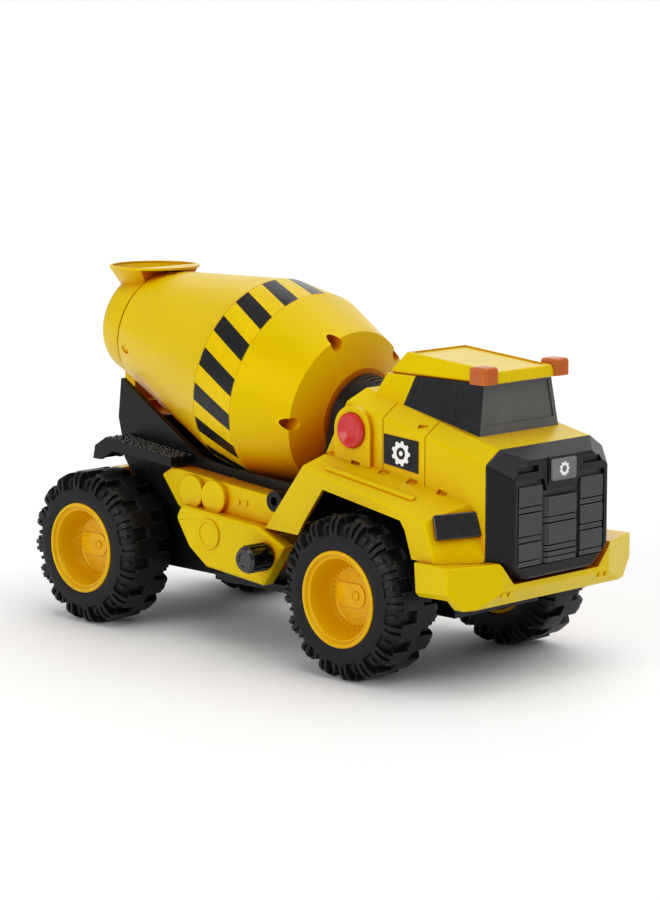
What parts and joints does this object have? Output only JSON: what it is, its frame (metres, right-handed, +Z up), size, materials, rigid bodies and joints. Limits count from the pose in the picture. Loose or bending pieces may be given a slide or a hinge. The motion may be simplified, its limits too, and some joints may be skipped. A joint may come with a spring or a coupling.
{
  "type": "toy cement mixer truck",
  "caption": "Toy mixer truck with a tilted drum that turns from a side knob through gears, free-rolling wheels, a rear hopper, a cab and a sprung sound button.",
  "frame": {"origin": "bottom centre of the toy's bounding box, on the ground between the wheels", "axes": "+X towards the grille, +Y to the truck's left, +Z up"},
  "size_m": [0.3907, 0.1794, 0.228],
  "materials": {
    "body_yellow": "satin moulded yellow plastic",
    "drum_yellow": "satin moulded golden yellow plastic",
    "wheel_yellow": "glossy moulded yellow plastic",
    "trim_black": "satin moulded black plastic",
    "grille_grey": "dark grey plastic with a fine mesh texture",
    "tyre_black": "matte black moulded tyre",
    "tinted_window": "glossy smoke black plastic",
    "hazard_label": "yellow label with black slanted stripes",
    "label_black": "black printed label with a white cog ring",
    "badge_grey": "grey satin badge plate",
    "amber_lens": "translucent amber plastic",
    "led_clear": "clear epoxy lamp",
    "button_red": "satin red plastic",
    "gear_white": "natural acetal plastic",
    "steel": "plain steel",
    "board_green": "green solder mask",
    "component_black": "black component plastic",
    "cell_wrap": "plain dark cell wrap",
    "contact_metal": "nickel-plated spring steel"
  },
  "bodies": {
    "chassis": {"arch_liner_left": "trim_black", "arch_liner_right": "trim_black", "base_frame": "trim_black", "battery_door": "trim_black", "beacon_leds": "led_clear", "beacon_lens_left": "amber_lens", "beacon_lens_right": "amber_lens", "bumper": "body_yellow", "button_spring": "steel", "button_switch": "component_black", "cab_shell": "body_yellow", "cell_contacts": "contact_metal", "cells": "cell_wrap", "circuit_board": "board_green", "drive_housing": "trim_black", "drum_cradle": "trim_black", "gear_bracket": "gear_white", "grille_badge": "badge_grey", "grille_insert": "grille_grey", "grille_surround": "trim_black", "headlight_left": "trim_black", "headlight_right": "trim_black", "hopper_collar": "drum_yellow", "rear_deck": "trim_black", "roof_panel": "body_yellow", "screws": "steel", "side_label_left": "label_black", "side_label_right": "label_black", "side_panel_left": "body_yellow", "side_panel_right": "body_yellow", "speaker": "component_black", "tail_frame": "body_yellow", "tank_plate_left": "body_yellow", "tank_plate_right": "body_yellow", "window_unit": "tinted_window"},
    "front_wheels": {"front_axle": "steel", "front_left_tyre": "tyre_black", "front_right_tyre": "tyre_black", "front_left_rim": "wheel_yellow", "front_right_rim": "wheel_yellow"},
    "rear_wheels": {"rear_axle": "steel", "rear_left_tyre": "tyre_black", "rear_right_tyre": "tyre_black", "rear_left_rim": "wheel_yellow", "rear_right_rim": "wheel_yellow"},
    "drum": {"drum_rear_shell": "drum_yellow", "drum_front_shell": "drum_yellow", "stripe_band": "hazard_label", "drum_spindle": "steel", "drum_crown_gear": "gear_white"},
    "layshaft": {"layshaft": "steel", "layshaft_lower_pinion": "gear_white", "layshaft_upper_pinion": "gear_white"},
    "knob": {"turning_knob": "trim_black", "knob_shaft": "steel", "knob_crown_gear": "gear_white"},
    "button": {"sound_button": "button_red"}
  },
  "joints": [
    {"name": "front_wheels_roll", "type": "hinge", "parent": "chassis", "child": "front_wheels", "pos_m": [0.0941, 0, 0.05], "axis": [0, 1, 0], "continuous": true},
    {"name": "rear_wheels_roll", "type": "hinge", "parent": "chassis", "child": "rear_wheels", "pos_m": [-0.1411, 0, 0.05], "axis": [0, 1, 0], "continuous": true},
    {"name": "drum_spin", "type": "hinge", "parent": "chassis", "child": "drum", "pos_m": [-0.0235, 0, 0.1569], "axis": [-0.9769, 0, 0.2137], "continuous": true},
    {"name": "layshaft_spin", "type": "hinge", "parent": "chassis", "child": "layshaft", "pos_m": [0.0135, 0, 0.063], "axis": [0.2137, 0, 0.9769], "continuous": true},
    {"name": "knob_turn", "type": "hinge", "parent": "chassis", "child": "knob", "pos_m": [0.0135, -0.08, 0.063], "axis": [0, -1, 0], "continuous": true},
    {"name": "button_press", "type": "slide", "parent": "chassis", "child": "button", "axis": [0, 1, 0], "range_m": [0, 0.0025], "stiffness_N_per_m": 300, "deforming": ["button_spring"]}
  ],
  "couplings": [
    {"joint": "layshaft_spin", "follows": "drum_spin", "ratio": 2},
    {"joint": "knob_turn", "follows": "drum_spin", "ratio": -1}
  ]
}
